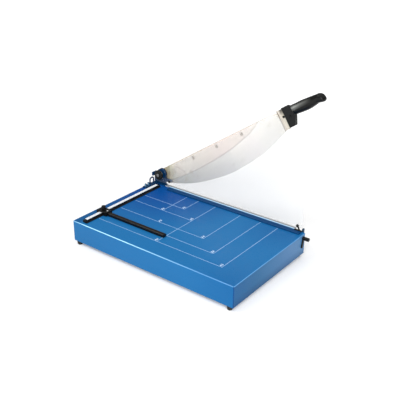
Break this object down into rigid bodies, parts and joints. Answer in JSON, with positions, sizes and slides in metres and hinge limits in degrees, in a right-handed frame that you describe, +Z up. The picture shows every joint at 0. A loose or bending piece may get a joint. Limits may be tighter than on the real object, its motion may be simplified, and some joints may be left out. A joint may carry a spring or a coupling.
{
  "type": "guillotine paper cutter",
  "caption": "Lever paper cutter: steel base with printed format lines, curved blade on a rear pivot, paper clamp with cam lever, fence with sliding back stop, clear guard.",
  "frame": {"origin": "on the ground under the middle of the cutter's bounding box at rest", "axes": "+X to the blade side (right), +Y to the pivot and fence (rear), +Z up; the operator stands at -Y"},
  "size_m": [0.3686, 0.5616, 0.4545],
  "materials": {
    "blue_paint": "semi-gloss blue powder paint",
    "black_plastic": "satin moulded black",
    "rubber": "matte",
    "ground_steel": "ground",
    "zinc_steel": "zinc plated",
    "blade_steel": "satin ground",
    "satin_steel": "satin",
    "black_anodised": "black anodised",
    "white_print": "printed plastic strip",
    "spring_steel": "oiled spring wire",
    "clear_plastic": "clear polished acrylic",
    "clamp_blue": "blue anodised"
  },
  "bodies": {
    "base": {"base_shell": "blue_paint", "rib_front": "blue_paint", "rib_rear": "blue_paint", "foot_1": "rubber", "foot_2": "rubber", "foot_3": "rubber", "foot_4": "rubber", "counter_blade": "ground_steel", "side_screw_1": "zinc_steel", "side_screw_2": "zinc_steel", "side_screw_3": "zinc_steel", "side_screw_4": "zinc_steel", "fence_rail": "black_anodised", "rail_screw_1": "zinc_steel", "rail_screw_2": "zinc_steel", "rail_cap_left": "black_plastic", "rail_cap_right": "black_plastic", "scale_strip": "white_print", "clamp_spring_front": "spring_steel", "clamp_spring_rear": "spring_steel", "lever_bush": "black_plastic", "pivot_bracket": "blue_paint", "bracket_bolt_1": "spring_steel", "bracket_bolt_2": "spring_steel", "pivot_bolt": "zinc_steel", "thrust_washer": "black_plastic", "pressure_spring": "spring_steel", "pivot_hub": "black_plastic", "rear_hoop": "spring_steel", "guard_panel": "clear_plastic", "guard_screw_front": "black_plastic", "guard_screw_rear": "black_plastic", "guard_post": "black_plastic"},
    "blade_assembly": {"blade": "blade_steel", "blade_arm": "zinc_steel", "blade_screw_1": "spring_steel", "blade_screw_2": "spring_steel", "blade_screw_3": "spring_steel", "end_plate": "satin_steel", "handle_bracket": "black_plastic", "handle_bolt": "black_plastic", "plate_bolt": "black_plastic", "grip": "black_plastic"},
    "clamp": {"clamp_bar": "clamp_blue", "guide_pin_front": "zinc_steel", "guide_pin_rear": "zinc_steel", "retainer_front": "zinc_steel", "retainer_rear": "zinc_steel", "clamp_end_block": "black_plastic", "lift_stalk": "black_plastic", "lift_ball": "black_plastic"},
    "lever": {"lift_cam": "zinc_steel", "cam_shaft": "zinc_steel", "cam_lever": "black_plastic", "lever_stub": "black_plastic"},
    "stop": {"stop_carriage": "black_plastic", "stop_bar": "black_anodised", "bar_cap": "black_plastic", "bar_screw": "black_plastic"},
    "knob": {"lock_knob": "black_plastic"}
  },
  "joints": [
    {"name": "blade_pivot", "type": "hinge", "parent": "base", "child": "blade_assembly", "pos_m": [0.16665, 0.2513, 0.1052], "axis": [1, 0, 0], "range_deg": [-14, 33]},
    {"name": "cam_turn", "type": "hinge", "parent": "base", "child": "lever", "pos_m": [0.13965, -0.2617, 0.0617], "axis": [0, 1, 0], "range_deg": [0, 90]},
    {"name": "clamp_lift", "type": "slide", "parent": "base", "child": "clamp", "axis": [0, 0, 1], "range_m": [0, 0.003], "deforming": ["clamp_spring_front", "clamp_spring_rear"]},
    {"name": "stop_slide", "type": "slide", "parent": "base", "child": "stop", "axis": [1, 0, 0], "range_m": [-0.059, 0.216]},
    {"name": "knob_turn", "type": "hinge", "parent": "stop", "child": "knob", "pos_m": [-0.10035, 0.2438, 0.085], "axis": [0, 0, 1], "continuous": true}
  ],
  "couplings": [
    {"joint": "cam_turn", "follows": "clamp_lift", "rad_per_m": 523.6}
  ]
}
